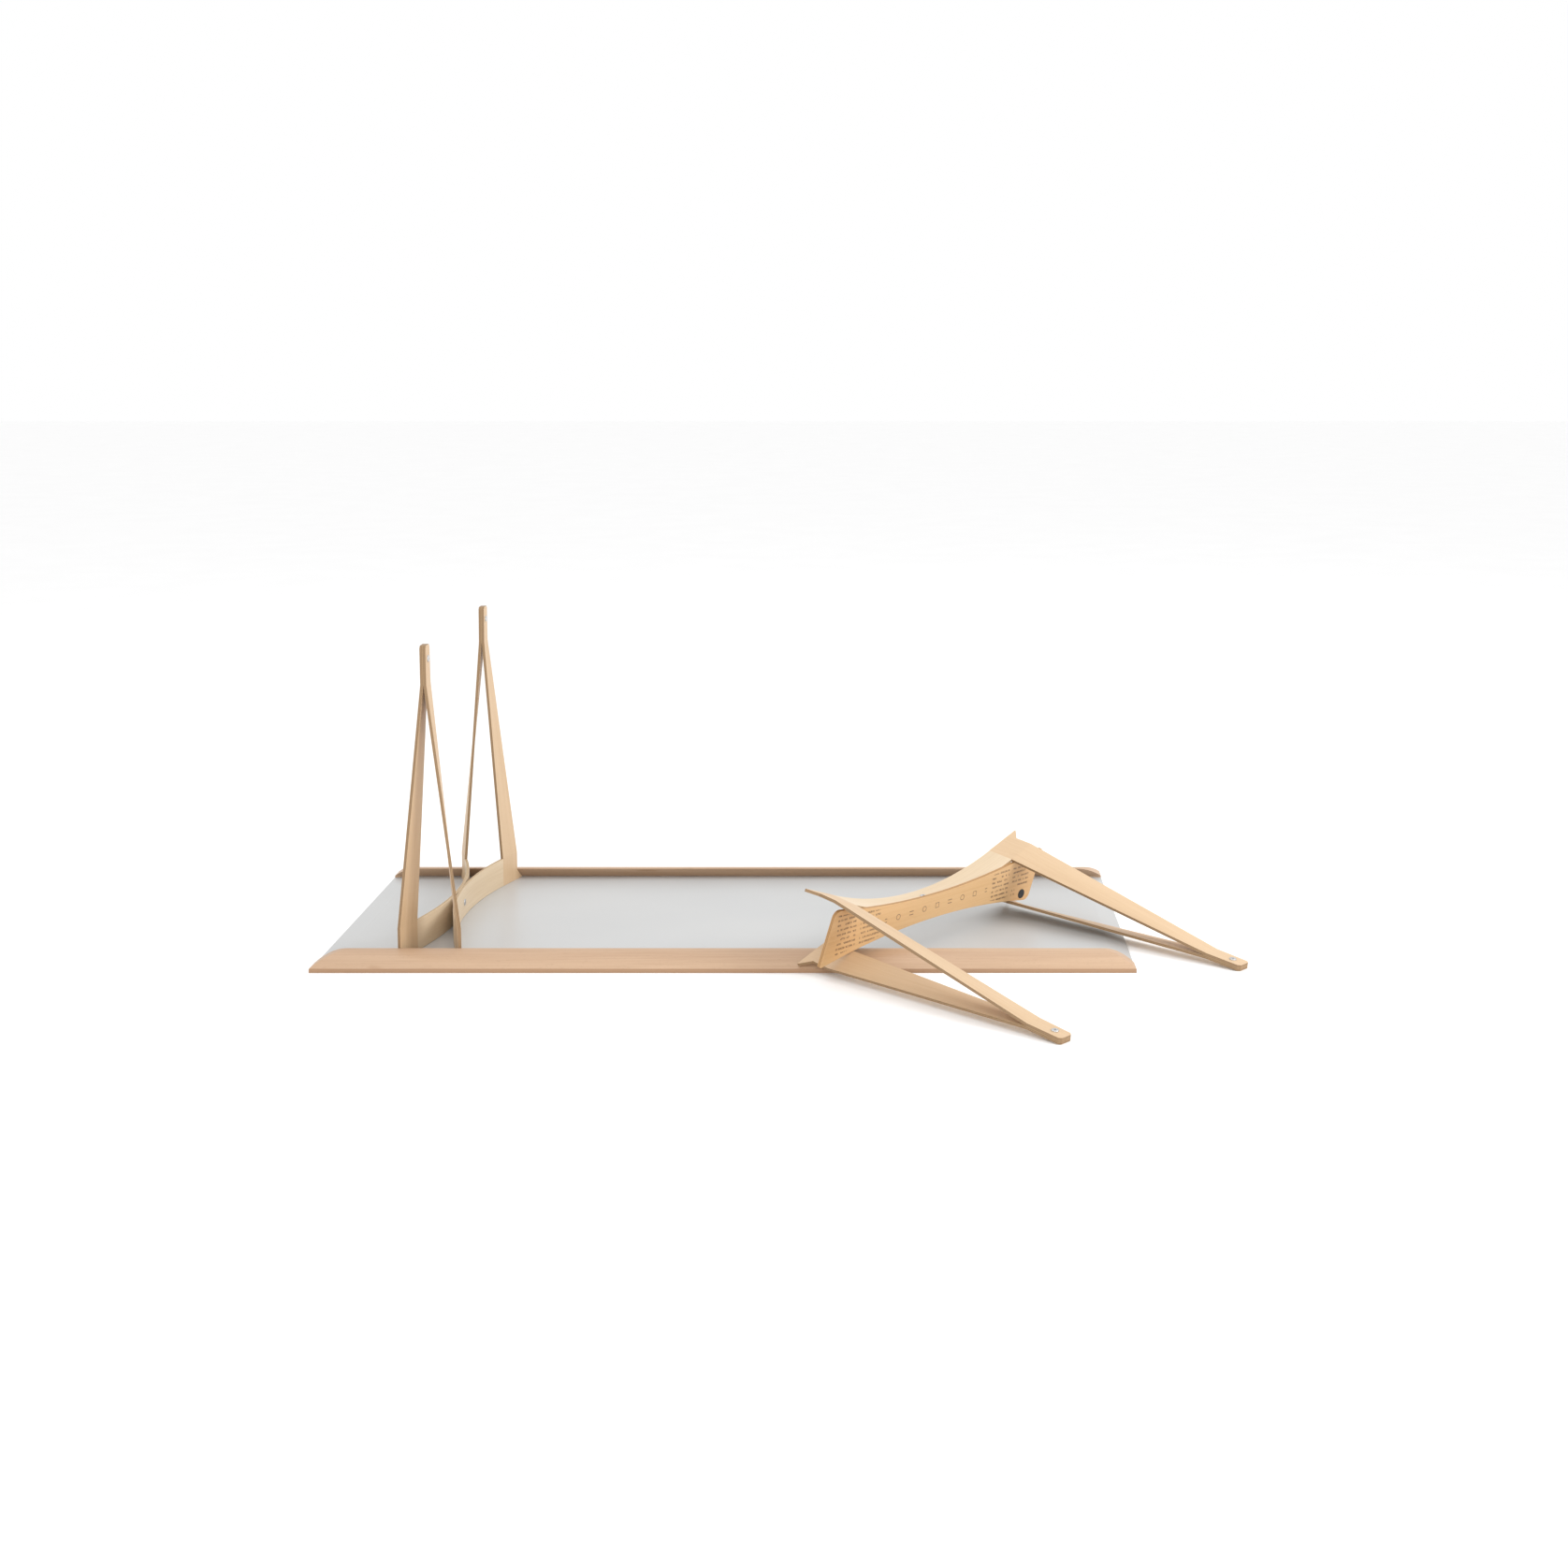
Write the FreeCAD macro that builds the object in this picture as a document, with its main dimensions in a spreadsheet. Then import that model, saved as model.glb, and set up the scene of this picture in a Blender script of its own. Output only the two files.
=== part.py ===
import FreeCAD, Part
import os
import re

import Sketcher
from FreeCAD import Placement, Rotation, Vector

# A dining table held together by tension, shown face down while its legs are being fitted: a thin sheet
# between two rails with undercut crests, one leg unit hooked under the crests, and one leg unit,
# held open by its spreader board, lying across the front corner with its feet on the floor.
# X runs along the table, Y across it, Z up; the origin is the middle of the table's face, on the floor.

doc = FreeCAD.newDocument("tension_leg_table")

# Driving sizes, in millimetres and degrees.
SIZES = {
    "table_length": 1900,
    "table_width": 866,
    "sheet_thickness": 8,
    "sheet_bevel": 45,          # run of the bevel along each short edge
    "sheet_edge": 4,            # thickness left at the short edges
    "rail_lap": 14,             # wood outside the sheet's long edge
    "rail_width": 77,           # outer edge to the crest's sharp corner, before its nose is rounded
    "rail_height": 36,
    "rail_edge": 9,             # upright outer edge
    "rail_undercut": 29,        # how far the crest overhangs the foot of the groove
    "nose_radius": 1.5,
    "ply_thickness": 7,
    "leg_length": 738,
    "leg_wide": 77,             # leg's width at the wide end
    "leg_narrow": 44.9,         # leg's width where the foot plate starts
    "head_height": 73,          # depth of the crossbar, and of the leg's plate beside it
    "hook_lip": 2,              # blunt edge of the hook
    "foot_plate": 90,           # length over which a pair of legs lies face to face
    "foot_width": 41.2,
    "foot_chamfer": 6,
    "bar_bend": 17.6,           # turn of each half crossbar when its unit is fitted
    "bar_overbend": 20.6,       # the same when the spreader board holds the unit open
    "hook_gap": 0.3,            # clearance between a unit and the table
    "edge_ease": 0.8,
    "tongue_thickness": 3,
    "tongue_depth": 10,         # how far a tongue enters each of the two pieces
    "tongue_height": 53,
    "tongue_gap": 0.05,
    "board_thickness": 9,
    "board_overhang": 90.8,     # board's middle line past the places where the legs grip it
    "board_skew": 19.5,         # how far its oblique ends lead and trail that line
    "board_waist": 60,
    "board_corner": 21,         # its blunt corners
    "board_tip_corner": 4,      # its pointed ones
    "board_gap": 0.3,
    "plug_radius": 12,
    "plug_depth": 3,
    "plug_proud": 0.6,
    "plug_gap": 0.1,
    "plug_past_grip": 42.8,
    "plug_inset": 17.5,         # its middle from the board's curved edge
    "bolt_head": 8.2,           # radius
    "bolt_head_height": 2.5,
    "bolt_round": 1.5,
    "bolt_shank": 3,            # radius
    "bolt_reach": 9.5,
    "sleeve_radius": 4,
    "sleeve_reach": 10.5,
    "bolt_gap": 0.2,            # sleeve to the wood, on the radius
    "seat_gap": 0.05,
    "thread_gap": 0.05,
    "socket_flats": 4,
    "socket_depth": 1.7,
    "foot_bolt_rise": 32,       # foot bolt from the end of the leg
    "foot_bolt_inset": 21.5,    # foot bolt from the outer edge of the leg
    "bar_bolt_height": 36,
    "fitted_from_end": 261,     # middle of the fitted unit from the table's end
    "lying_from_end": 513,      # middle of the lying unit's wide end from the table's other end
    "lying_inset": 8.5,         # its near corner from the table's near edge
    "lying_turn": 42.6,
    "lying_gap": 2.6,           # its lowest hook above the sheet
    "floor_gap": 0.5,
}

# Sizes worked out from the driving ones. All of a crossbar's turn is along its own length, so that the
# same four legs and two bars make the unit that is fitted and the one that the board holds open.
WORKED = {
    "half_length": "table_length / 2",
    "half_width": "table_width / 2",
    "half_ply": "ply_thickness / 2",
    "groove_foot": "rail_width - rail_undercut",
    "undercut_rise": "rail_height - sheet_thickness",
    "undercut_angle": "atan(undercut_rise / rail_undercut)",
    "undercut_slope": "rail_undercut / undercut_rise",
    "nose_set": "nose_radius / tan(undercut_angle / 2)",
    "crest_run": "rail_width - nose_set",
    "crest_rise": "rail_height - rail_edge",
    "crest_radius": "(crest_run * crest_run + crest_rise * crest_rise) / (2 * crest_rise)",
    "crest_reach": "crest_run + nose_radius",
    "groove_play": "hook_gap / sin(undercut_angle)",
    "corner_shift": "half_ply * sin(bar_bend)",
    "unit_half": "half_width - crest_reach - hook_gap - corner_shift",
    "fitted_radius": "(unit_half - leg_wide * cos(bar_bend)) / sin(bar_bend)",
    "open_radius": "fitted_radius * bar_bend / bar_overbend",
    "fitted_bow": "fitted_radius * (1 - cos(bar_bend))",
    "open_bow": "open_radius * (1 - cos(bar_overbend))",
    "fitted_reach": "fitted_radius * sin(bar_bend)",
    "open_reach": "open_radius * sin(bar_overbend)",
    "fitted_spread": "fitted_bow + leg_wide * sin(bar_bend)",
    "open_spread": "open_bow + leg_wide * sin(bar_overbend)",
    "hook_limit": "half_width - groove_foot - groove_play - corner_shift",
    "hook_reach": "(hook_limit - hook_gap * undercut_slope - unit_half) / cos(bar_bend)",
    "hook_height": "hook_reach * cos(bar_bend) / undercut_slope",
    "hook_blunt": "hook_lip * undercut_slope / cos(bar_bend)",
    "foot_start": "leg_length - foot_plate",
    "grip_lean": "(open_bow * board_thickness) / (foot_start - head_height)",
    "grip_half": "half_ply + open_bow - half_ply * cos(bar_overbend) - grip_lean - board_gap",
    "waist_half": "board_waist / 2",
    "grip_rise": "grip_half - waist_half",
    "board_radius": "(open_reach * open_reach + grip_rise * grip_rise) / (2 * grip_rise)",
    "board_long": "open_reach + board_overhang + board_skew",
    "board_short": "open_reach + board_overhang - board_skew",
    "long_back": "sqrt(board_radius * board_radius - board_long * board_long)",
    "short_back": "sqrt(board_radius * board_radius - board_short * board_short)",
    "long_end": "waist_half + board_radius - long_back",
    "short_end": "waist_half + board_radius - short_back",
    "plug_along": "open_reach + plug_past_grip",
    "plug_back": "sqrt(board_radius * board_radius - plug_along * plug_along)",
    "plug_across": "waist_half + board_radius - plug_back - plug_inset",
    "hook_low": "ply_thickness + open_spread + hook_reach * sin(bar_overbend)",
    "lying_height": "sheet_thickness + lying_gap + hook_low + hook_height * lying_fall",
    "lying_fall": "(sheet_thickness + lying_gap + hook_low - floor_gap - ply_thickness) / leg_length",
    "lying_slope": "asin((lying_height - floor_gap - ply_thickness) / leg_length) / 1 deg",
    "lying_across": "lying_inset - half_width + (unit_half + corner_shift) * cos(lying_turn)",
}

OWNER = {alias: f"Sizes.{alias}" for alias in SIZES}
OWNER.update({alias: f"Worked.{alias}" for alias in WORKED})


def bound(text):
    """The formula with each size named by its sheet."""
    return re.sub(r"[a-z]+(?:_[a-z]+)+", lambda found: OWNER[found.group(0)], str(text))


def fill(sheet_name, rows):
    sheet = doc.addObject("Spreadsheet::Sheet", sheet_name)
    for row, (alias, content) in enumerate(rows.items(), start=1):
        sheet.set(f"A{row}", alias)
        sheet.set(f"B{row}", content)
        sheet.setAlias(f"B{row}", alias)
    return sheet


sizes = fill("Sizes", {alias: str(number) for alias, number in SIZES.items()})
fill("Worked", {alias: "=" + bound(formula) for alias, formula in WORKED.items()})
doc.recompute()


def value(text):
    """What a formula comes to now, used to start a sketch near its solved shape."""
    result = sizes.evalExpression(bound(text))
    return float(getattr(result, "Value", result))


def place(x=0, y=0, z=0, axis="0; 0; 1", turn=0):
    """A placement written as a formula."""
    return f"placement(vector({x}; {y}; {z}); rotation(vector({axis}); {turn}))"


def bind(thing, **formulas):
    for name, formula in formulas.items():
        thing.setExpression(name, bound(formula))


def body_of(name, placement=None):
    body = doc.addObject("PartDesign::Body", name)
    body.Label = name
    if placement:
        bind(body, Placement=placement)
    return body


def sketch_on(body, role, offset=None):
    plane = [item for item in body.Origin.OriginFeatures if item.Role == role][0]
    sketch = body.newObject("Sketcher::SketchObject", f"{body.Name}_sketch")
    sketch.AttachmentSupport = (plane, [""])
    sketch.MapMode = "FlatFace"
    if offset:
        bind(sketch, AttachmentOffset=offset)
    return sketch


def pin(sketch, kind, where, formula):
    """Adds one dimension and binds it to the sheets."""
    index = sketch.addConstraint(Sketcher.Constraint(kind, *where, value(formula)))
    sketch.setExpression(f"Constraints[{index}]", bound(formula))


def outline(sketch, corners):
    """A closed loop. A corner is (x, y), or (x, y, radius, side) where the stretch that leaves it is an
    arc whose centre is on the left (side 1) or on the right (side -1)."""
    points = [Vector(value(corner[0]), value(corner[1]), 0) for corner in corners]
    ends = []
    for number, corner in enumerate(corners):
        start = points[number]
        stop = points[(number + 1) % len(points)]
        if len(corner) == 2:
            geometry = sketch.addGeometry(Part.LineSegment(start, stop))
            ends.append((geometry, 1, 2))
        else:
            radius = value(corner[2])
            chord = stop - start
            left = Vector(-chord.y, chord.x, 0).normalize()
            depth = (radius ** 2 - (chord.Length / 2) ** 2) ** 0.5
            middle = (start + stop) / 2 + left * corner[3] * (depth - radius)
            geometry = sketch.addGeometry(Part.Arc(start, middle, stop))
            forward = sketch.getPoint(geometry, 1).distanceToPoint(start) < 1e-6
            ends.append((geometry, 1, 2) if forward else (geometry, 2, 1))
    for number, corner in enumerate(corners):
        geometry, first, last = ends[number]
        following = ends[(number + 1) % len(ends)]
        sketch.addConstraint(Sketcher.Constraint("Coincident", geometry, last, following[0], following[1]))
        pin(sketch, "DistanceX", (geometry, first), corner[0])
        pin(sketch, "DistanceY", (geometry, first), corner[1])
        if len(corner) > 2:
            pin(sketch, "Radius", (geometry,), corner[2])


def rectangle(sketch, low_x, high_x, low_y, high_y):
    outline(sketch, [(low_x, low_y), (high_x, low_y), (high_x, high_y), (low_x, high_y)])


def circle(sketch, x, y, radius):
    centre = Vector(value(x), value(y), 0)
    geometry = sketch.addGeometry(Part.Circle(centre, Vector(0, 0, 1), value(radius)))
    pin(sketch, "DistanceX", (geometry, 3), x)
    pin(sketch, "DistanceY", (geometry, 3), y)
    pin(sketch, "Radius", (geometry,), radius)


def pad(body, sketch, length, symmetric=False):
    feature = body.newObject("PartDesign::Pad", f"{body.Name}_pad")
    feature.Profile = sketch
    feature.SideType = "Symmetric" if symmetric else "One side"
    bind(feature, Length=length)
    doc.recompute()
    return feature


def pocket(body, sketch, length, symmetric=False, forward=False):
    """A cut, which is refused if it takes nothing away."""
    before = body.Shape.Volume
    feature = body.newObject("PartDesign::Pocket", f"{body.Name}_pocket")
    feature.Profile = sketch
    feature.SideType = "Symmetric" if symmetric else "One side"
    feature.Reversed = forward
    bind(feature, Length=length)
    doc.recompute()
    if not body.Shape.Volume < before - 1e-3:
        raise RuntimeError(f"{feature.Name} cuts nothing")
    return feature


def ease(body, radius, wanted):
    """Rounds the edges of the body's tip that wanted picks."""
    names = [f"Edge{n}" for n, edge in enumerate(body.Shape.Edges, start=1) if wanted(edge)]
    feature = body.newObject("PartDesign::Fillet", f"{body.Name}_fillet")
    feature.Base = (body.Group[-2], names)
    bind(feature, Radius=radius)
    doc.recompute()
    return feature


# Table top --------------------------------------------------------------------------------------------

SHEET_PROFILE = [
    ("-half_length", "0"), ("half_length", "0"), ("half_length", "sheet_edge"),
    ("half_length - sheet_bevel", "sheet_thickness"), ("sheet_bevel - half_length", "sheet_thickness"),
    ("-half_length", "sheet_edge"),
]


def make_sheet():
    body = body_of("tabletop_sheet")
    sketch = sketch_on(body, "XZ_Plane")
    outline(sketch, SHEET_PROFILE)
    pad(body, sketch, "table_width - 2 * rail_lap", symmetric=True)
    return body


def make_rail(name, side):
    """The rail's own Y runs inward from its outer edge. Its ends fall away in the curve of its outside."""
    body = body_of(name, place(y=f"{side} * half_width", turn=90 + 90 * side))
    section = sketch_on(body, "YZ_Plane")
    outline(section, [
        ("0", "0"), ("groove_foot", "0"), ("groove_foot", "sheet_thickness"),
        ("rail_width - nose_set * cos(undercut_angle)", "rail_height - nose_set * sin(undercut_angle)",
         "nose_radius", 1),
        ("crest_run", "rail_height", "crest_radius", 1),
        ("0", "rail_edge"),
    ])
    pad(body, section, "table_length", symmetric=True)
    rebate = sketch_on(body, "XZ_Plane", place(z="-(rail_lap + groove_foot)"))
    outline(rebate, SHEET_PROFILE)
    pocket(body, rebate, "2 * groove_foot", symmetric=True)
    for end in (-1, 1):
        profile = sketch_on(body, "XZ_Plane")
        tip = (f"{end} * half_length", "rail_edge")
        crest = (f"{end} * (half_length - crest_run)", "rail_height")
        above = (f"{end} * (half_length - crest_run)", "rail_height + rail_edge")
        beyond = (f"{end} * (half_length + rail_edge)", "rail_height + rail_edge")
        beside = (f"{end} * (half_length + rail_edge)", "rail_edge")
        outline(profile, [tip + ("crest_radius", end), crest, above, beyond, beside])
        pocket(body, profile, "3 * rail_width", symmetric=True)
    return body


# Leg units --------------------------------------------------------------------------------------------
# A unit's own X is its spread, Y its width and Z the direction of its legs. Two bowed frames stand back
# to back: each is a crossbar between two legs, and the frames meet at the middle and at the feet.

UNITS = {
    "left": {
        "turn": "bar_bend", "radius": "fitted_radius", "bow": "fitted_bow", "reach": "fitted_reach",
        "spread": "fitted_spread", "frames": {1: "inner", -1: "outer"}, "bolt_side": 1,
        "place": place("fitted_from_end - half_length", 0, "sheet_thickness + hook_gap"),
    },
    "right": {
        "turn": "bar_overbend", "radius": "open_radius", "bow": "open_bow", "reach": "open_reach",
        "spread": "open_spread", "frames": {1: "lower", -1: "upper"}, "bolt_side": -1,
        "place": place("half_length - lying_from_end", "lying_across", "lying_height", turn="-lying_turn")
        + " * " + place(axis="0; 1; 0", turn="90 + lying_slope"),
    },
}
SIDES = {-1: "near", 1: "far"}


def joint_place(unit, across, side):
    """Where a leg meets its crossbar: X runs outward in the plane of the leg's plate."""
    where = place(f"{across} * (half_ply + {unit['bow']})", f"{side} * {unit['reach']}",
                  turn=f"{side} * (90 - {across} * {unit['turn']})")
    return unit["place"] + " * " + where


def tongue_slot(body, offset):
    sketch = sketch_on(body, "XY_Plane", offset)
    half = "(tongue_thickness / 2 + tongue_gap)"
    rectangle(sketch, "-tongue_depth", "tongue_depth + tongue_gap", f"-{half}", half)
    pocket(body, sketch, "tongue_height + 2 * tongue_gap", forward=True)


TONGUE_BASE = "(head_height - tongue_height) / 2"
SLOT_BASE = f"{TONGUE_BASE} - tongue_gap"


def make_leg(name, unit, across, side):
    """A flat plate with a hook beside the crossbar, then a blade that twists to lie against its pair."""
    hand = across * side
    body = body_of(name, joint_place(unit, across, side))
    plate = sketch_on(body, "XZ_Plane")
    outline(plate, [
        ("0", "0"), ("leg_wide + hook_reach - hook_blunt", "0"),
        ("leg_wide + hook_reach - hook_blunt", "hook_lip"), ("leg_wide", "hook_height"),
        ("leg_wide", "head_height"), ("0", "head_height"),
    ])
    pad(body, plate, "ply_thickness", symmetric=True)
    root = sketch_on(body, "XY_Plane", place(z="head_height"))
    rectangle(root, "0", "leg_wide", "-half_ply", "half_ply")
    outer_x = f"leg_wide - {unit['spread']} * sin({unit['turn']})"
    outer_y = f"{hand} * {unit['spread']} * cos({unit['turn']})"
    sections = []
    for height, low, high in (
        ("foot_start", "-leg_narrow", "0"),
        ("leg_length - foot_chamfer", "-foot_width", "0"),
        ("leg_length", "foot_chamfer - foot_width", "-foot_chamfer"),
    ):
        section = sketch_on(body, "XY_Plane", place(outer_x, outer_y, height, turn=f"{hand} * {unit['turn']}"))
        rectangle(section, low, high, "-half_ply", "half_ply")
        sections.append(section)
    blade = body.newObject("PartDesign::AdditiveLoft", f"{body.Name}_blade")
    blade.Profile = root
    blade.Sections = sections
    blade.Ruled = True
    doc.recompute()
    hole_place = place(outer_x, 0, f"-({outer_y})", axis="0; 1; 0", turn=f"{hand} * {unit['turn']}")
    hole = sketch_on(body, "XZ_Plane", hole_place)
    circle(hole, "-foot_bolt_inset", "leg_length - foot_bolt_rise", "sleeve_radius + bolt_gap")
    pocket(body, hole, "4 * ply_thickness", symmetric=True)
    tongue_slot(body, place(z=SLOT_BASE))
    return body


def make_crossbar(name, unit, across):
    """Bowed in plan about an upright axis. Its middle is at X 0 and its ends bend towards +X."""
    turned = place(f"{across} * half_ply", turn=90 - 90 * across)
    body = body_of(name, unit["place"] + " * " + turned)
    radius, turn = unit["radius"], unit["turn"]
    back, front = f"({radius} + half_ply)", f"({radius} - half_ply)"
    plan = sketch_on(body, "XY_Plane")
    outline(plan, [
        (f"{radius} - {back} * cos({turn})", f"-{back} * sin({turn})", back, -1),
        (f"{radius} - {back} * cos({turn})", f"{back} * sin({turn})"),
        (f"{radius} - {front} * cos({turn})", f"{front} * sin({turn})", front, 1),
        (f"{radius} - {front} * cos({turn})", f"-{front} * sin({turn})"),
    ])
    pad(body, plan, "head_height")
    ease(body, "edge_ease", lambda edge: edge.Curve.TypeId == "Part::GeomCircle")
    hole = sketch_on(body, "YZ_Plane")
    circle(hole, "0", "bar_bolt_height", "sleeve_radius + bolt_gap")
    pocket(body, hole, "4 * ply_thickness", symmetric=True)
    for side in SIDES:
        tongue_slot(body, place(unit["bow"], f"{side} * {unit['reach']}", SLOT_BASE,
                                turn=f"{-side} * (90 + {turn})"))
    return body


def make_tongues(name, unit):
    """One flat tongue across each of the four joints between a crossbar and a leg."""
    tongues = []
    for across in unit["frames"]:
        for side in SIDES:
            tongue = doc.addObject("Part::Box", f"{name}_piece")
            centred = place("-tongue_depth", "-tongue_thickness / 2", TONGUE_BASE)
            bind(tongue, Length="2 * tongue_depth", Width="tongue_thickness", Height="tongue_height",
                 Placement=joint_place(unit, across, side) + " * " + centred)
            tongues.append(tongue)
    return group_of(name, tongues)


def group_of(name, pieces):
    group = doc.addObject("Part::Compound", name)
    group.Label = name
    group.Links = pieces
    return group


def make_fastener(name, placement, shaft):
    """A round head with a hex socket and the given shaft below it, which is its section in (radius, Z)."""
    body = body_of(name, placement)
    section = sketch_on(body, "XZ_Plane")
    outline(section, shaft + [
        ("bolt_head", "0"), ("bolt_head", "bolt_head_height - bolt_round", "bolt_round", 1),
        ("bolt_head - bolt_round", "bolt_head_height"), ("0", "bolt_head_height"),
    ])
    turned = body.newObject("PartDesign::Revolution", f"{body.Name}_turned")
    turned.Profile = section
    turned.ReferenceAxis = (section, ["V_Axis"])
    turned.Angle = 360
    doc.recompute()
    socket = sketch_on(body, "XY_Plane", place(z="bolt_head_height"))
    corner = "socket_flats / sqrt(3)"
    outline(socket, [(f"{corner} * cos({60 * n})", f"{corner} * sin({60 * n})") for n in range(6)])
    pocket(body, socket, "socket_depth")
    return body


BOLT_SHAFT = [("0", "-bolt_reach"), ("bolt_shank", "-bolt_reach"), ("bolt_shank", "0")]
SLEEVE_SHAFT = [
    ("0", "-seat_gap"), ("bolt_shank + thread_gap", "-seat_gap"),
    ("bolt_shank + thread_gap", "-sleeve_reach"), ("sleeve_radius", "-sleeve_reach"), ("sleeve_radius", "0"),
]


def make_fasteners(prefix, unit):
    """A bolt and a sleeve nut clamp the frames at the middle of the bars and at each pair of feet."""
    foot_height = "leg_length - foot_bolt_rise"
    foot_across = f"({unit['reach']} + leg_wide * cos({unit['turn']}) - foot_bolt_inset)"
    made = []
    for kind, shaft, facing in (("bolt", BOLT_SHAFT, 1), ("sleeve_nut", SLEEVE_SHAFT, -1)):
        out = facing * unit["bolt_side"]
        seat = f"{out} * (ply_thickness + seat_gap)"

        def at(y, z):
            return unit["place"] + " * " + place(seat, y, z, axis="0; 1; 0", turn=90 * out)

        made.append(make_fastener(f"{prefix}_centre_{kind}", at(0, "bar_bolt_height"), shaft))
        feet = [make_fastener(f"{prefix}_{SIDES[side]}_foot_{kind}", at(f"{side} * {foot_across}", foot_height),
                              shaft) for side in SIDES]
        made.append(group_of(f"{prefix}_foot_{kind}s", feet))
    return made


def make_unit(prefix):
    unit = UNITS[prefix]
    made = []
    for across, frame in unit["frames"].items():
        made.append(make_crossbar(f"{prefix}_{frame}_crossbar", unit, across))
        for side, where in SIDES.items():
            made.append(make_leg(f"{prefix}_{where}_{frame}_leg", unit, across, side))
    made.append(make_tongues(f"{prefix}_tongues", unit))
    return made + make_fasteners(prefix, unit)


# Spreader board ---------------------------------------------------------------------------------------


def upright(edge):
    """Whether a straight edge runs along the unit's Z, which is the body's own Z."""
    ends = [vertex.Point for vertex in edge.Vertexes]
    return len(ends) == 2 and abs(ends[1].z - ends[0].z) > 0.99 * edge.Length


def blunt(edge):
    """Whether an upright edge is at one of the board's two blunt corners."""
    return upright(edge) and edge.CenterOfMass.x * edge.CenterOfMass.y > 0


def pointed(edge):
    return upright(edge) and edge.CenterOfMass.x * edge.CenterOfMass.y < 0


def make_board():
    """A waisted panel with oblique ends on the crossbars' upper edges, wedged between the four legs."""
    unit = UNITS["right"]
    body = body_of("spreader_board")
    plan = sketch_on(body, "XY_Plane", place(z="head_height"))
    outline(plan, [
        ("long_end", "-board_long", "board_radius", -1), ("short_end", "board_short"),
        ("-long_end", "board_long", "board_radius", -1), ("-short_end", "-board_short"),
    ])
    pad(body, plan, "board_thickness")
    ease(body, "board_corner", blunt)
    ease(body, "board_tip_corner", pointed)
    top = value("head_height + board_thickness")
    ease(body, "edge_ease", lambda edge: all(abs(v.Z - top) < 1e-6 for v in edge.Vertexes))
    recess = sketch_on(body, "XY_Plane", place(z="head_height + board_thickness"))
    circle(recess, "plug_across", "plug_along", "plug_radius + plug_gap")
    pocket(body, recess, "plug_depth")
    bind(body, Placement=unit["place"])
    return body


def make_plug():
    unit = UNITS["right"]
    where = place("plug_across", "plug_along", "head_height + board_thickness - plug_depth")
    body = body_of("board_plug", unit["place"] + " * " + where)
    disc = sketch_on(body, "XY_Plane")
    circle(disc, "0", "0", "plug_radius")
    pad(body, disc, "plug_depth + plug_proud")
    return body


nodes = [make_sheet(), make_rail("near_rail", -1), make_rail("far_rail", 1)]
nodes += make_unit("left")
nodes += make_unit("right")
nodes += [make_board(), make_plug()]
doc.recompute()

for thing in doc.Objects:
    if "Invalid" in thing.State or "Error" in thing.State:
        raise RuntimeError(f"{thing.Name} did not compute")
for node in nodes:
    if node.Shape.isNull() or not node.Shape.isValid():
        raise RuntimeError(f"{node.Label} has no valid shape")

os.makedirs("parts", exist_ok=True)
for node in nodes:
    node.Shape.exportStep(f"parts/{node.Label}.step")
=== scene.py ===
import math

import bpy
from mathutils import Matrix, Vector

# The looks of a tension-leg table that lies face down: oiled beech rails round a white laminate sheet,
# a plywood leg unit standing between the rails, and a second unit, spread by a printed board, lying
# across the front corner. Metres throughout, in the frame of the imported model.

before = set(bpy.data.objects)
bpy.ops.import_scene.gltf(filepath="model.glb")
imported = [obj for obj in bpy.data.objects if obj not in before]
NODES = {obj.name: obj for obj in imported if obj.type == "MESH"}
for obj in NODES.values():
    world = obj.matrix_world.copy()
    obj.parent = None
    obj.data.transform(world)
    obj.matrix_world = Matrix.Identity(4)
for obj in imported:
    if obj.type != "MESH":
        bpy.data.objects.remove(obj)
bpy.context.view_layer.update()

MM = 0.001
PLY = 7 * MM            # thickness of the legs and crossbars
BOARD = 9 * MM          # thickness of the spreader board
PLIES = 5               # layers of veneer in a piece
RAIL_EDGE = 432.2 * MM  # a rail's outer upright edge, from the table's middle, past which shade is painted on the rail
LEG_WIDE = 77 * MM
LEG_NARROW = 44.9 * MM
HEAD = 73 * MM          # depth of a crossbar
FOOT_START = 648 * MM   # where a pair of legs first lies face to face
BOLT_RISE = 36 * MM     # a crossbar's bolt, from its edge that meets the sheet
FACE_LEAN = 0.65        # a plywood face leans no further than this from its unit's spread
BENDS = {"left": math.radians(17.6), "right": math.radians(20.6)}
FRAMES = {"left": {"inner": 1, "outer": -1}, "right": {"lower": 1, "upper": -1}}


# Reading the frame ------------------------------------------------------------------------------------


def corner_points(node):
    return [vertex.co.copy() for vertex in NODES[node].data.vertices]


def mean(points):
    return sum(points, Vector()) / len(points)


def unit_axes(prefix):
    """The leg unit's own frame, read from its bolts: X its spread, Y its width, Z along its legs.
    Its origin is the middle of the crossbars' edge that meets the sheet."""
    feet = corner_points(f"{prefix}_foot_bolts")
    centre = mean(feet)
    reach = max(feet, key=lambda point: (point - centre).length) - centre
    ahead = [point for point in feet if (point - centre).dot(reach) > 0]
    behind = [point for point in feet if (point - centre).dot(reach) < 0]
    across = (mean(ahead) - mean(behind)).normalized()
    if across.y < 0:
        across = -across
    bolt = mean(corner_points(f"{prefix}_centre_bolt"))
    along = (centre - bolt).normalized()
    spread = across.cross(along).normalized()
    nut = mean(corner_points(f"{prefix}_centre_sleeve_nut"))
    return Matrix((spread, across, along)).transposed(), (bolt + nut) / 2 - along * BOLT_RISE


# Shader tools -----------------------------------------------------------------------------------------


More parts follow.
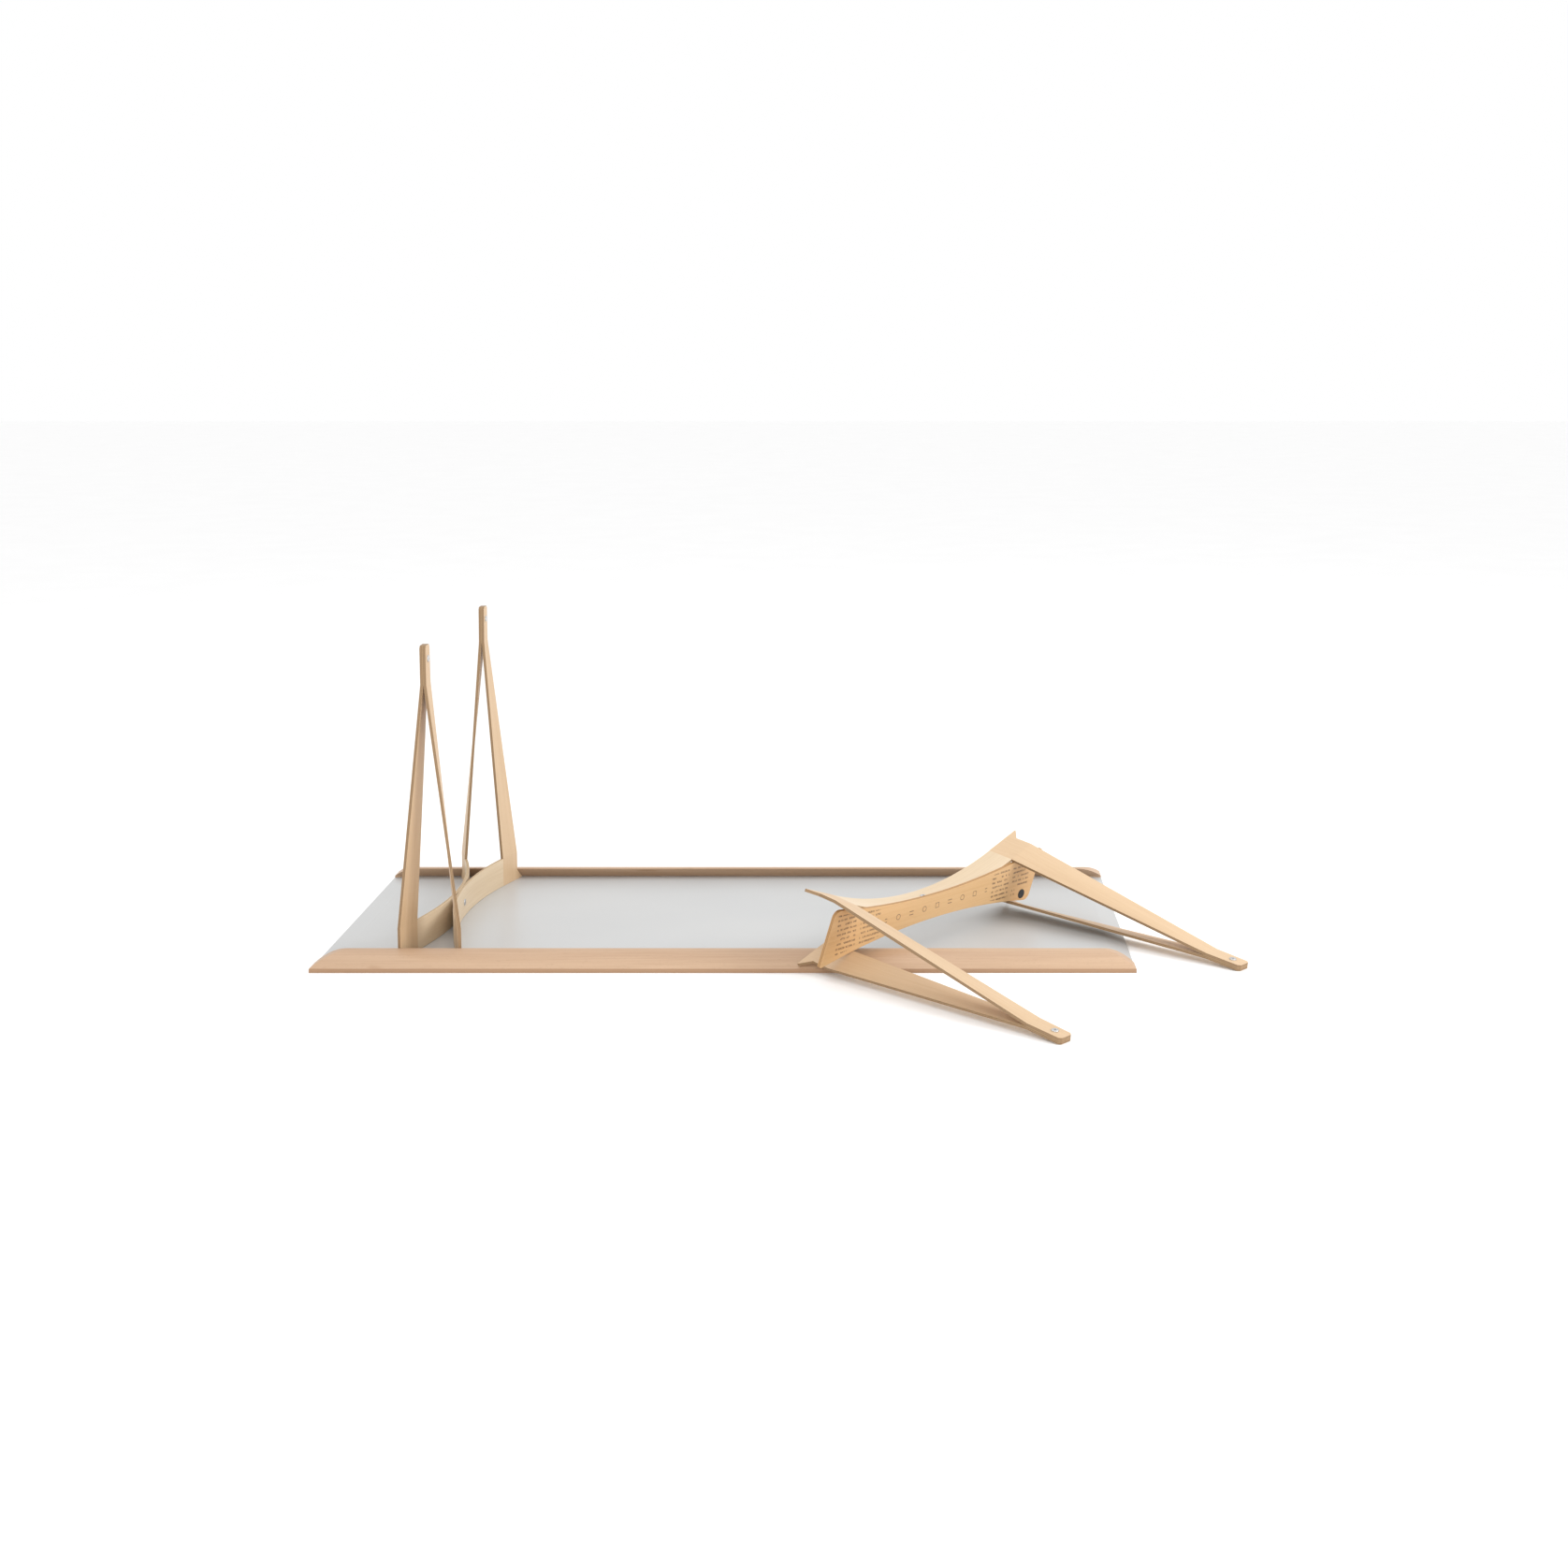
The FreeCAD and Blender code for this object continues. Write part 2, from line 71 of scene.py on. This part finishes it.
class Value:
    """A node's output that takes part in shader sums."""

    def __init__(self, shader, socket):
        self.shader = shader
        self.socket = socket

    def maths(self, operation, *others, clamp=False):
        return self.shader.node("ShaderNodeMath", {"operation": operation, "use_clamp": clamp}, self, *others)

    def __add__(self, other):
        return self.maths("ADD", other)

    def __sub__(self, other):
        return self.maths("SUBTRACT", other)

    def __mul__(self, other):
        return self.maths("MULTIPLY", other)

    def __truediv__(self, other):
        return self.maths("DIVIDE", other)

    def __gt__(self, other):
        return self.maths("GREATER_THAN", other)

    def __lt__(self, other):
        return self.maths("LESS_THAN", other)

    def __radd__(self, other):
        return self.maths("ADD", other)

    def __rmul__(self, other):
        return self.maths("MULTIPLY", other)

    def __rsub__(self, other):
        return self.shader.node("ShaderNodeMath", {"operation": "SUBTRACT"}, other, self)

    def absolute(self):
        return self.maths("ABSOLUTE")

    def floor(self):
        return self.maths("FLOOR")

    def fraction(self):
        return self.maths("FRACT")

    def root(self):
        return self.maths("SQRT")

    def most(self, other):
        return self.maths("MAXIMUM", other)

    def clipped(self):
        return self.maths("ADD", 0.0, clamp=True)

    def between(self, low, high):
        return (self > low) * (self < high)


class Shader:
    """One material and the nodes that it is made of."""

    def __init__(self, name):
        self.material = bpy.data.materials.new(name)
        self.material.use_nodes = True
        self.tree = self.material.node_tree
        self.surface = self.tree.nodes["Principled BSDF"]

    def node(self, kind, settings=None, *inputs, output=0, **named):
        """Adds a node: its settings first, then its inputs by place or by name. in_6 is place 6."""
        made = self.tree.nodes.new(kind)
        for key, setting in (settings or {}).items():
            if key == "stops":
                self.set_stops(made.color_ramp, setting)
            else:
                setattr(made, key, setting)
        for place, given in enumerate(inputs):
            self.feed(made.inputs[place], given)
        for name, given in named.items():
            place = int(name[3:]) if name.startswith("in_") else name.replace("_", " ")
            self.feed(made.inputs[place], given)
        return Value(self, made.outputs[output])

    def feed(self, socket, given):
        if isinstance(given, Value):
            self.tree.links.new(given.socket, socket)
        else:
            socket.default_value = given

    def set_stops(self, ramp, stops):
        while len(ramp.elements) < len(stops):
            ramp.elements.new(1.0)
        for element, (place, shade) in zip(ramp.elements, stops):
            element.position = place
            element.color = rgba(shade)

    def ramp(self, fac, stops):
        return self.node("ShaderNodeValToRGB", {"stops": stops}, fac)

    def mix(self, fac, first, second):
        """Mixes two colours."""
        first, second = (shade if isinstance(shade, Value) else rgba(shade) for shade in (first, second))
        return self.node("ShaderNodeMix", {"data_type": "RGBA"}, fac, in_6=first, in_7=second, output=2)

    def noise(self, place, scale, detail=3.0, roughness=0.5, distortion=0.0):
        return self.node("ShaderNodeTexNoise", {}, Vector=place, Scale=scale, Detail=detail,
                         Roughness=roughness, Distortion=distortion)

    def combine(self, x, y, z):
        return self.node("ShaderNodeCombineXYZ", {}, x, y, z)

    def split(self, vector):
        first = self.node("ShaderNodeSeparateXYZ", {}, vector)
        return [Value(self, output) for output in first.socket.node.outputs]

    def dot(self, vector, axis):
        return self.node("ShaderNodeVectorMath", {"operation": "DOT_PRODUCT"}, vector, axis, output=1)

    def facing(self, way):
        """How squarely the surface looks along a direction, one way or the other."""
        return self.dot(self.node("ShaderNodeNewGeometry", {}, output=3), way).absolute()

    def place(self):
        """The point in the model's frame, which a CAD node's object keeps while its body moves."""
        return self.node("ShaderNodeTexCoord", {}, output=3)

    def local(self, axes):
        """The point in a unit's own frame, as three values."""
        turn, origin = axes
        where = self.place()
        return [self.dot(where, turn.col[n]) - turn.col[n].dot(origin) for n in range(3)]

    def bump(self, height, strength, distance):
        made = self.node("ShaderNodeBump", {}, Strength=strength, Distance=distance, Height=height)
        self.feed(self.surface.inputs["Normal"], made)

    def finish(self, colour, roughness, **constants):
        self.feed(self.surface.inputs["Base Color"], colour)
        self.feed(self.surface.inputs["Roughness"], roughness)
        for name, constant in constants.items():
            self.surface.inputs[name.replace("_", " ")].default_value = constant
        return self.material


def rgba(shade):
    return (*shade, 1.0)


# Finishes ---------------------------------------------------------------------------------------------


def grain(shader, along, across, through, seed):
    """Straight grain: a slow drift of tone, fine fibres and short flecks. Returns them as three values."""
    slow = shader.noise(shader.combine(along * 1.3 + seed, across * 16, through * 16), 1.0, 3.0, 0.5, 0.4)
    fibre = shader.noise(shader.combine(along * 5 + seed, across * 260, through * 260), 1.0, 4.0, 0.6)
    fleck = shader.noise(shader.combine(along * 90, across * 620 + seed, through * 620), 1.0, 2.0, 0.5)
    return slow, fibre, fleck


def rail_beech(name, seed):
    """Solid beech, its grain along the rail: three shades from pale to dark, the short dark flecks of its
    rays, a few knots, and painted shade on its outer upright edge."""
    shader = Shader(name)
    x, y, z = shader.split(shader.place())
    slow, fibre, fleck = grain(shader, x, y, z, seed)
    tone = ((slow - 0.5) * 1.5 + (fibre - 0.5) * 0.9 + 0.5).clipped()
    pale, middle, dark = BEECH
    colour = shader.ramp(tone, [(0.0, pale), (0.5, middle), (1.0, dark)])
    colour = shader.mix(((fleck - 0.60) * 7).clipped() * 0.35, colour, [channel * 0.72 for channel in dark])
    knot = shader.noise(shader.combine(x * 9, y * 40, z * 40), 1.0, 1.0, 0.4)
    colour = shader.mix(((knot - 0.74) * 9).clipped() * 0.5, colour, KNOT)
    # Painted shade: past RAIL_EDGE the outer upright edge is darkened to stand in for the shade on that face
    # and its shadow line.
    outer = y.absolute() > RAIL_EDGE
    colour = shader.mix(outer * 0.75, colour, toned(BEECH[2], 0.75))
    shader.bump(fibre * 0.7 + fleck * 0.3, 0.12, 0.0006)
    return shader.finish(colour, 0.46 + (fibre - 0.5) * 0.18, Coat_Weight=0.08, Coat_Roughness=0.35)


def toned(shade, tone):
    """A shade made darker and a little warmer."""
    return [channel * tone * kept for channel, kept in zip(shade, (1.0, 0.9, 0.76))]


def ply_layers(shader, depth):
    """1 in the layers whose grain runs the other way. depth is 0 at one face and 1 at the other."""
    layer = (depth * PLIES).floor()
    return ((layer * 0.5).fraction() * 2).clipped()


def plywood(name, shades, point, face, seed, edge_tone, marks=None):
    """Veneer on the faces and layers on the edges. point gives along, across and depth (0 to 1), and
    face is the direction that the faces look in."""
    shader = Shader(name)
    along, across, depth = point(shader)
    through = depth * PLY
    slow, fibre, fleck = grain(shader, along, across, through, seed)
    tone = ((slow - 0.5) * 1.3 + (fibre - 0.5) * 0.8 + 0.5).clipped()
    pale, middle, dark = shades
    colour = shader.ramp(tone, [(0.0, pale), (0.5, middle), (1.0, dark)])
    colour = shader.mix(((fleck - 0.62) * 6).clipped() * 0.22, colour, [channel * 0.7 for channel in dark])
    inside = shader.facing(face) < FACE_LEAN
    cross = ply_layers(shader, depth)
    pores = shader.noise(shader.combine(along * 900, across * 900, through * 900), 1.0, 2.0, 0.6)
    layer_tone = shader.mix(cross * 0.8, toned(middle, edge_tone), toned(dark, edge_tone * 0.55))
    layer_tone = shader.mix((pores - 0.45).clipped() * 0.9, layer_tone, toned(dark, 0.3))
    colour = shader.mix(inside, colour, layer_tone)
    if marks:
        colour = shader.mix(marks(shader, along, across, depth), colour, INK)
    shader.bump(fibre * 0.6 + inside * (pores * 0.4 - cross * 0.35), 0.14, 0.0005)
    return shader.finish(colour, 0.50 + (fibre - 0.5) * 0.16 + inside * 0.14,
                         Coat_Weight=0.05, Coat_Roughness=0.4)


def bar_point(axes, prefix, way):
    """A bowed crossbar: along its bend, its depth, and how far through its thickness."""
    bow = bar_radius(prefix)

    def point(shader):
        spread, width, height = shader.local(axes)
        away = bow + PLY / 2 - spread * way
        radius = (away * away + width * width).root()
        return width, height, (radius - bow) / PLY + 0.5

    return point


def leg_point(axes, prefix, way):
    """A leg, whose thickness turns from its wide plate to its foot."""
    bend = BENDS[prefix]
    bow = bar_radius(prefix)
    inner_width = bow * math.sin(bend)
    inner_spread = PLY / 2 + bow * (1 - math.cos(bend))
    outer_width = inner_width + LEG_WIDE * math.cos(bend)
    rise = LEG_WIDE * math.sin(bend)
    narrow = outer_width - LEG_NARROW

    def point(shader):
        spread, width, height = shader.local(axes)
        width = width.absolute()
        share = ((height - HEAD) / (FOOT_START - HEAD)).clipped()
        edge = inner_width + share * (narrow - inner_width)
        base = inner_spread + share * (PLY / 2 - inner_spread)
        climb = rise * (1 - share)
        reach = (width - edge) / (outer_width - edge)
        slope = climb / (outer_width - edge)
        offset = (spread * way - base - climb * reach) / (slope * slope + 1).root()
        return height, width, offset / PLY + 0.5

    return point


def bar_radius(prefix):
    """The bend's radius, from the width between the tongues' middles."""
    points = [unit_point(prefix, p) for p in corner_points(f"{prefix}_tongues")]
    ends = [abs(p.y) for p in points]
    middle = (max(ends) + min(ends)) / 2
    return middle / math.sin(BENDS[prefix])


def unit_point(prefix, point):
    turn, origin = AXES[prefix]
    return turn.transposed() @ (point - origin)


def board_point(axes):
    def point(shader):
        spread, width, height = shader.local(axes)
        return width, spread, (height - HEAD) / BOARD

    return point


def printed_marks(shader, along, across, depth):
    """Generic print on the board's outer face: two blocks of broken lines at each end, and a row of
    plain shapes along the waist."""
    row = across / (11.5 * MM) + 0.5
    line = (row.fraction() - 0.5).absolute() < 0.20
    row_seed = row.floor() * 7.31
    words = shader.noise(shader.combine(along * 120, row_seed, 0.0), 1.0, 1.0, 0.3) > 0.44
    strokes = shader.noise(shader.combine(along * 620, across * 420, row_seed), 1.0, 1.0, 0.4) > 0.43
    reach = along.absolute()
    columns = reach.between(0.202, 0.268) + reach.between(0.282, 0.345)
    sides = across.absolute() < reach * 0.11 + 11 * MM
    beside_plug = (along > 0.295) * (across > 16 * MM)
    text = line * words * strokes * columns * sides * (1 - beside_plug)
    cell = 46 * MM
    step = along / cell + 0.5
    cell_x = (step.fraction() - 0.5) * cell
    kind = shader.noise(shader.combine(step.floor() * 3.7, 2.0, 0.0), 1.0, 0.0) * 2
    ring = (cell_x * cell_x + across * across).root().between(5.5 * MM, 7.3 * MM)
    box = cell_x.absolute().most(across.absolute()).between(5.0 * MM, 6.6 * MM)
    bars = (cell_x.absolute() < 7 * MM) * ((across.absolute() - 4 * MM).absolute() < 1.1 * MM)
    shape = ring * (kind < 0.95) + box * kind.between(0.95, 1.05) + bars * (kind > 1.05)
    return ((depth > 0.97) * (text + shape * (reach < 0.185))).clipped() * 0.80


def laminate():
    """Satin white laminate with a barely visible pebble and a faint haze."""
    shader = Shader("white_laminate")
    x, y, z = shader.split(shader.place())
    haze = shader.noise(shader.combine(x * 2.2, y * 3.1, z), 1.0, 3.0, 0.5)
    colour = shader.ramp(haze, [(0.3, (0.475, 0.48, 0.48)), (0.7, (0.505, 0.508, 0.505))])
    pebble = shader.noise(shader.combine(x, y, z), 1400.0, 2.0, 0.6)
    shader.bump(pebble, 0.05, 0.0003)
    return shader.finish(colour, 0.34 + (pebble - 0.5) * 0.12 + (haze - 0.5) * 0.10)


def plated_steel():
    shader = Shader("plated_steel")
    x, y, z = shader.split(shader.place())
    rub = shader.noise(shader.combine(x * 900, y * 900, z * 2600), 1.0, 3.0, 0.6)
    colour = shader.ramp(rub, [(0.3, (0.50, 0.50, 0.51)), (0.7, (0.68, 0.68, 0.68))])
    shader.bump(rub, 0.06, 0.0002)
    return shader.finish(colour, 0.28 + (rub - 0.5) * 0.20, Metallic=1.0)


def black_plug():
    shader = Shader("black_plug")
    speck = shader.noise(shader.place(), 1800.0, 2.0, 0.6)
    colour = shader.ramp(speck, [(0.3, (0.012, 0.012, 0.012)), (0.7, (0.024, 0.024, 0.025))])
    shader.bump(speck, 0.10, 0.0002)
    return shader.finish(colour, 0.52 + (speck - 0.5) * 0.15)


BEECH = [(0.56, 0.382, 0.248), (0.50, 0.331, 0.21), (0.428, 0.267, 0.161)]
LEG_VENEER = [(0.647, 0.47, 0.30), (0.588, 0.414, 0.25), (0.51, 0.338, 0.194)]
PALE_VENEER = [(0.70, 0.565, 0.41), (0.65, 0.515, 0.355), (0.57, 0.43, 0.275)]
BOARD_VENEER = [(0.65, 0.43, 0.225), (0.60, 0.375, 0.18), (0.53, 0.31, 0.135)]
KNOT = (0.33, 0.17, 0.08)
INK = (0.11, 0.06, 0.03)

AXES = {prefix: unit_axes(prefix) for prefix in FRAMES}


def dress(node, material):
    thing = NODES[node]
    thing.data.materials.clear()
    thing.data.materials.append(material)


dress("tabletop_sheet", laminate())
for seed, node in enumerate(("near_rail", "far_rail")):
    dress(node, rail_beech(f"beech_{node}", 3.0 + 11 * seed))

steel = plated_steel()
for unit, frames in FRAMES.items():
    axes = AXES[unit]
    spread, width, rise = axes[0].col
    for number, (name, way) in enumerate(frames.items()):
        bar = f"{unit}_{name}_crossbar"
        dress(bar, plywood(bar, PALE_VENEER, bar_point(axes, unit, way), spread, 5.0 + 3 * number, 0.85))
        for turn, side in enumerate(("near", "far")):
            leg = f"{unit}_{side}_{name}_leg"
            seed = 20.0 + 7 * number + 3 * turn
            dress(leg, plywood(leg, LEG_VENEER, leg_point(axes, unit, way), spread, seed, 0.62))
    tongues = f"{unit}_tongues"
    dress(tongues, plywood(tongues, PALE_VENEER, board_point(axes), spread, 2.0, 0.9))
    for part in ("centre_bolt", "foot_bolts", "centre_sleeve_nut", "foot_sleeve_nuts"):
        dress(f"{unit}_{part}", steel)
board_rise = AXES["right"][0].col[2]
board = plywood("board_ply", BOARD_VENEER, board_point(AXES["right"]), board_rise, 9.0, 0.85, printed_marks)
dress("spreader_board", board)
dress("board_plug", black_plug())


# Studio -----------------------------------------------------------------------------------------------


def studio_floor():
    size = 30.0
    low = -0.3 * MM     # just under the sheet, so that the two never share a plane
    mesh = bpy.data.meshes.new("floor")
    corners = [(-size, -size, low), (size, -size, low), (size, size, low), (-size, size, low)]
    mesh.from_pydata(corners, [], [(0, 1, 2, 3)])
    floor = bpy.data.objects.new("floor", mesh)
    bpy.context.collection.objects.link(floor)
    shader = Shader("studio_paper")
    mottle = shader.noise(shader.place(), 3.0, 2.0)
    colour = shader.ramp(mottle, [(0.3, (0.965,) * 3), (0.7, (0.98,) * 3)])
    floor.data.materials.append(shader.finish(colour, 0.9))


def softbox(name, place, target, size, power):
    light = bpy.data.lights.new(name, "AREA")
    light.shape = "RECTANGLE"
    light.size, light.size_y = size
    light.energy = power
    lamp = bpy.data.objects.new(name, light)
    lamp.location = place
    lamp.rotation_euler = (Vector(target) - Vector(place)).to_track_quat("-Z", "Y").to_euler()
    bpy.context.collection.objects.link(lamp)


def studio_light():
    world = bpy.data.worlds.new("studio")
    world.use_nodes = True
    sky = world.node_tree.nodes["Background"]
    sky.inputs["Color"].default_value = (1.0, 1.0, 1.0, 1.0)
    sky.inputs["Strength"].default_value = 1.0
    bpy.context.scene.world = world
    softbox("overhead", (-0.4, 0.6, 4.2), (0, 0, 0), (4.5, 3.5), 36)
    softbox("right", (4.4, -1.4, 2.6), (0.2, 0, 0.2), (2.0, 2.0), 110)
    softbox("front", (0.4, -6.6, 1.3), (0, 0, 0.1), (3.0, 2.0), 70)
    bpy.context.scene.view_settings.view_transform = "Standard"


def studio_camera():
    data = bpy.data.cameras.new("camera")
    data.sensor_width = 36
    data.lens = 47.0
    data.shift_x = -0.0704
    data.shift_y = -0.1486
    camera = bpy.data.objects.new("camera", data)
    camera.location = (0.394, -5.004, 1.454)
    camera.rotation_euler = (math.radians(90 - 6), 0, 0)
    bpy.context.collection.objects.link(camera)
    bpy.context.scene.camera = camera


studio_floor()
studio_light()
studio_camera()
